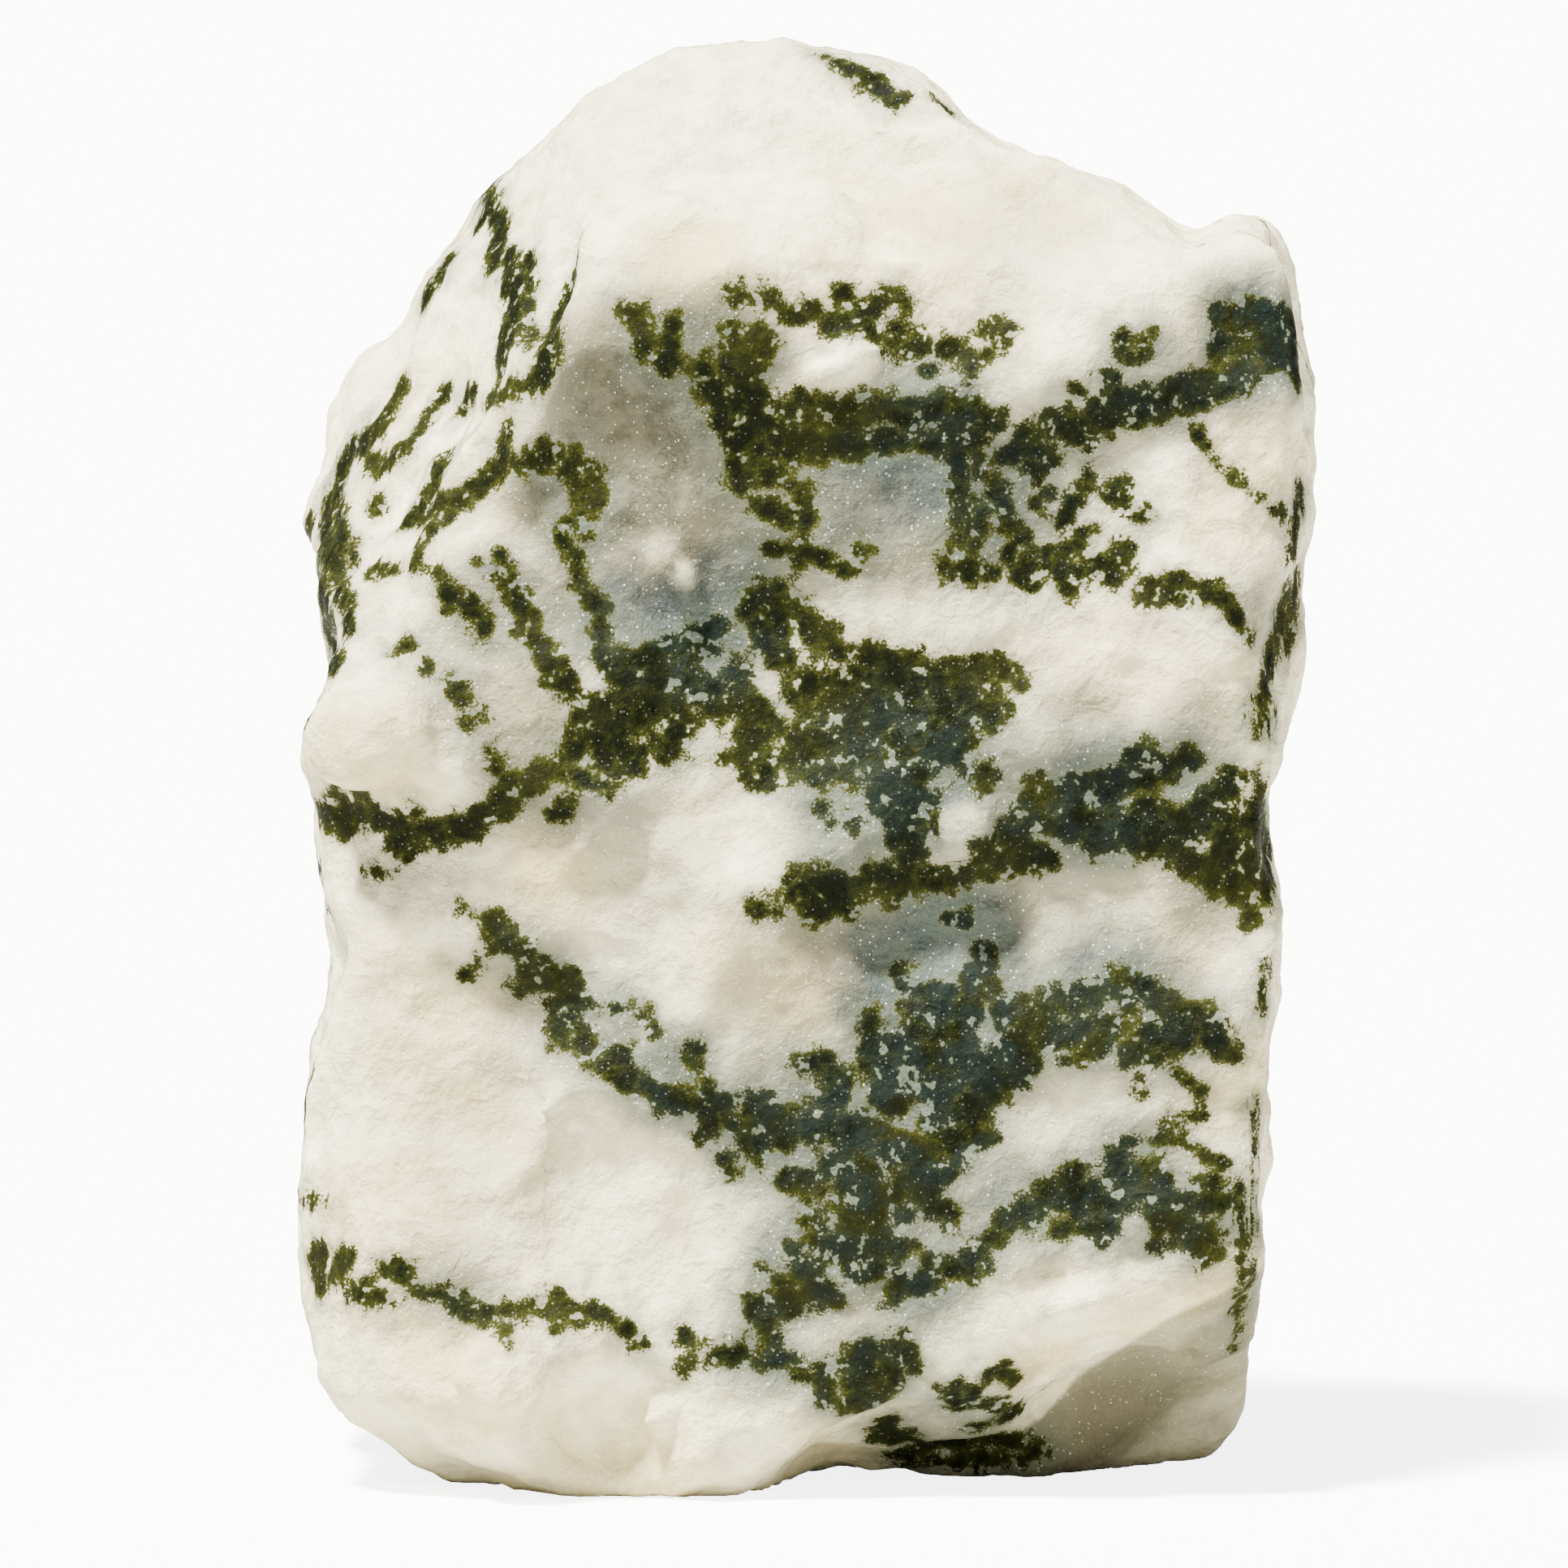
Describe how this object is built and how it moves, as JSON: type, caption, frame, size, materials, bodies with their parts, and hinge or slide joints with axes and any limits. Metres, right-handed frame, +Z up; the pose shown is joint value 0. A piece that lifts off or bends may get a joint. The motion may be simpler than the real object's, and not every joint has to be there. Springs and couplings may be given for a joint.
{
  "type": "raw tree agate",
  "caption": "Rough, unpolished lump of white quartz with moss-like green inclusions, standing upright on a small flat spot.",
  "frame": {"origin": "middle of the stone's bounding box in X and Y, at the level of the flat spot that it stands on", "axes": "+Z up along the stone's longest way, +X to the right across the broad face, -Y out of the broad face"},
  "size_m": [0.049, 0.0344, 0.0683],
  "materials": {
    "agate": "rough, sugary broken surface with dark green moss-like inclusions"
  },
  "bodies": {
    "root": {"stone": "agate"}
  },
  "joints": []
}
